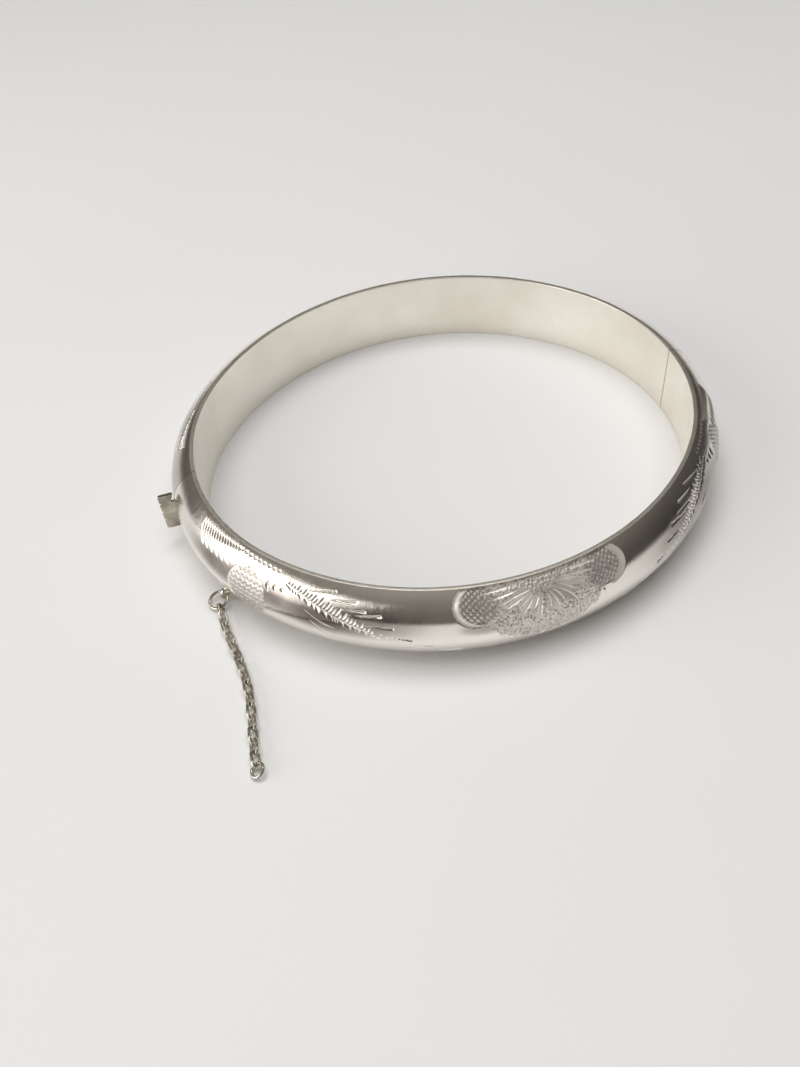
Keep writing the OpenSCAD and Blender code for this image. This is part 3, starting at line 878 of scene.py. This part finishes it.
def make_thumb_tab(material):
    """The pressed plate: a crowned, notched edge on a waisted neck, with softened edges."""
    low, high = (Vector(c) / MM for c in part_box("thumb_tab"))
    face_x = -OPENING_LENGTH / 2
    tip = face_x - low.x             # depth of the outer edge
    neck = face_x - high.x           # depth of the neck's foot
    half = (high.z - low.z) / 2
    neck_half = 1.5
    lift = 0.4                       # gap between the plate's underside and the dome
    cut_in, cut_out = 0.18, 0.16     # the corner between the underside and the side is cut off
    corner = 0.30                    # radius of the outer corners
    notch_radius, notch_pitch = 0.24, 1.35

    def over_dome(z):
        return DOME_CENTRE + math.sqrt((DOME_RADIUS + lift) ** 2 - z * z)

    lower = [(neck, -neck_half)]
    for k in range(9):
        z = -neck_half - (half - cut_in - neck_half) * k / 8
        lower.append((over_dome(z), z))
    lower.append((over_dome(half) + cut_out, -half))
    for k in range(4):
        a = math.pi / 2 * k / 3
        lower.append((tip - corner + corner * math.sin(a), -half + corner - corner * math.cos(a)))
    notches = []
    for notch in (-1, 0, 1):
        for k in range(7):
            a = math.pi * k / 6
            notches.append((tip - notch_radius * math.sin(a),
                            notch * notch_pitch - notch_radius * math.cos(a)))
    outline = lower + notches + [(d, -z) for d, z in lower[::-1]]
    count = len(outline)
    soft = 0.05
    depth = high.y - low.y
    layers = ((0.0, soft), (soft, 0.0), (depth - soft, 0.0), (depth, soft))
    points, faces = [], []
    for offset, inset in layers:
        for i, (d, z) in enumerate(outline):
            before, after = outline[i - 1], outline[(i + 1) % count]
            edge = Vector((after[0] - before[0], after[1] - before[1])).normalized()
            points.append(Vector((face_x - (d - inset * edge.y), low.y + offset,
                                  MID + z + inset * edge.x)))
    for layer in range(len(layers) - 1):
        for i in range(count):
            a, b = layer * count + i, layer * count + (i + 1) % count
            faces.append([a, b, b + count, a + count])
    faces.append(list(range(count))[::-1])
    faces.append([(len(layers) - 1) * count + i for i in range(count)])
    return mesh_piece("tab_plate", points, faces, material, "thumb_catch",
                      ["thumb_tab"], 40)


def make_chain(material):
    """The jump ring, the links and the end ring, each where its joint holds it."""
    joints = {joint["name"]: joint for joint in frame["joints"]}
    count = sum(name.startswith("chain_link_") for name in frame["nodes"])
    wire, ring_wire = 0.19, 0.18
    link_radius, link_straight = 0.485, 0.89
    end_radius, end_tilt = 0.75, math.radians(30)
    ring_gap, end_gap = 0.05, 0.04
    reach = link_radius + link_straight / 2
    up = Vector((0, 0, 1))

    def place(name):
        return Vector(joints[name]["pos_m"]) / MM

    def axis(name):
        return Vector(joints[name]["axis"]).normalized()

    def level_run(first, second):
        """The level direction from one joint to the next."""
        run = place(second) - place(first)
        run.z = 0
        return run.normalized()

    # jump ring: it swings about a line along the band, and reaches outward from it
    low, high = (Vector(c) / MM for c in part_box("jump_ring"))
    pivot = place("jump_ring_swing")
    centre = (low + high) / 2
    out = (centre - pivot).normalized()
    along = axis("jump_ring_swing")
    radius = (centre - pivot).length
    points, faces = tube(ring_path(centre, out, along, radius, 48, ring_gap), ring_wire, closed=False)
    mesh_piece("jump_ring_wire", points, faces, material, "jump_ring", ["jump_ring"], 60)

    names = [f"chain_joint_{i:02d}" for i in range(1, count + 1)] + ["end_ring_joint"]
    for i in range(count):
        run = level_run(names[i], names[i + 1])
        across = axis(names[i + 1])
        middle = place(names[i + 1]) - run * reach
        path = []
        for end in (1, -1):
            for k in range(13):
                a = math.pi * (k / 12 - 0.5)
                path.append(middle + end * (run * (link_straight / 2 + link_radius * math.cos(a))
                                            + across * link_radius * math.sin(a)))
            for k in range(1, 4):
                path.append(middle + end * (run * link_straight * (0.5 - k / 4)
                                            + across * link_radius))
        points, faces = tube(path, wire)
        node = f"chain_link_{i + 1:02d}"
        mesh_piece(f"link_{i + 1:02d}", points, faces, material, node, [node], 70)

    low, high = (Vector(c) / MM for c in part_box("chain_end_ring"))
    run = level_run(names[count - 1], names[count])
    sideways = up.cross(run)
    # the end ring leans the other way from the last link
    last = axis(names[count])
    tilt = -1 if last.dot(sideways) * last.z > 0 else 1
    across = sideways * math.cos(end_tilt) + up * tilt * math.sin(end_tilt)
    points, faces = tube(ring_path((low + high) / 2, run, across, end_radius, 40, end_gap), wire,
                         closed=False)
    mesh_piece("end_ring_wire", points, faces, material, "chain_end_ring",
               ["chain_end_ring"], 60)


def dress_frame(materials):
    """Materials for the CAD nodes that stay in view."""
    for name in ("front_hinge_plate", "back_hinge_plate", "front_clasp_plate", "back_clasp_plate",
                 "clasp_box"):
        set_material(name, materials["filed"])
    for name in ("front_hinge_knuckle", "back_hinge_knuckles", "hinge_pin"):
        set_material(name, materials["drawn"])
    for name in ("clasp_tongue", "spring_leaf"):
        set_material(name, materials["spring"])


def set_material(node, material):
    piece = frame["nodes"][node]
    if not piece.material_slots:
        piece.data.materials.append(material)
    for slot in piece.material_slots:
        slot.material = material


# ------------------------------------------------------------------ build

aim_camera()
make_studio()
MATERIALS = {
    "engraved": engraved_silver(),
    "satin": satin_silver(),
    "wire": plain_silver("wire_silver", (0.80, 0.775, 0.70), 0.16, (0.42, 0.39, 0.31)),
    "filed": plain_silver("filed_silver", (0.78, 0.765, 0.73), 0.34, (0.52, 0.50, 0.46), 0.3),
    "drawn": plain_silver("drawn_silver", (0.85, 0.835, 0.80), 0.20, (0.50, 0.47, 0.42)),
    "spring": plain_silver("spring_silver", (0.91, 0.895, 0.86), 0.12, (0.68, 0.65, 0.60)),
    "grimy": plain_silver("grimy_silver", (0.56, 0.53, 0.44), 0.22, (0.26, 0.24, 0.19), 0.2),
}
# reaches of the shells' lines, close together where the band is engraved
FRONT_STEPS = np.linspace(0, HALF_RUN, 1261)
BACK_ENGRAVED = 18
BACK_STEPS = np.concatenate([np.linspace(0, BACK_ENGRAVED, 226),
                             np.linspace(BACK_ENGRAVED, HALF_RUN, 149)[1:]])
band_shell("front_dome", -1, FRONT_STEPS, engrave_front, MATERIALS["engraved"], "front_half",
           "front_outer_shell")
band_shell("back_dome", 1, BACK_STEPS, engrave_back, MATERIALS["engraved"], "back_half",
           "back_outer_shell")
band_liner("front_lining", -1, MATERIALS["satin"], "front_half", "front_inner_liner")
band_liner("back_lining", 1, MATERIALS["satin"], "back_half", "back_inner_liner")
make_eyelet("front_loop", -1, MATERIALS["wire"], "front_half", "front_eyelet")
make_eyelet("back_loop", 1, MATERIALS["wire"], "back_half", "back_eyelet")
make_thumb_tab(MATERIALS["grimy"])
make_chain(MATERIALS["wire"])
dress_frame(MATERIALS)
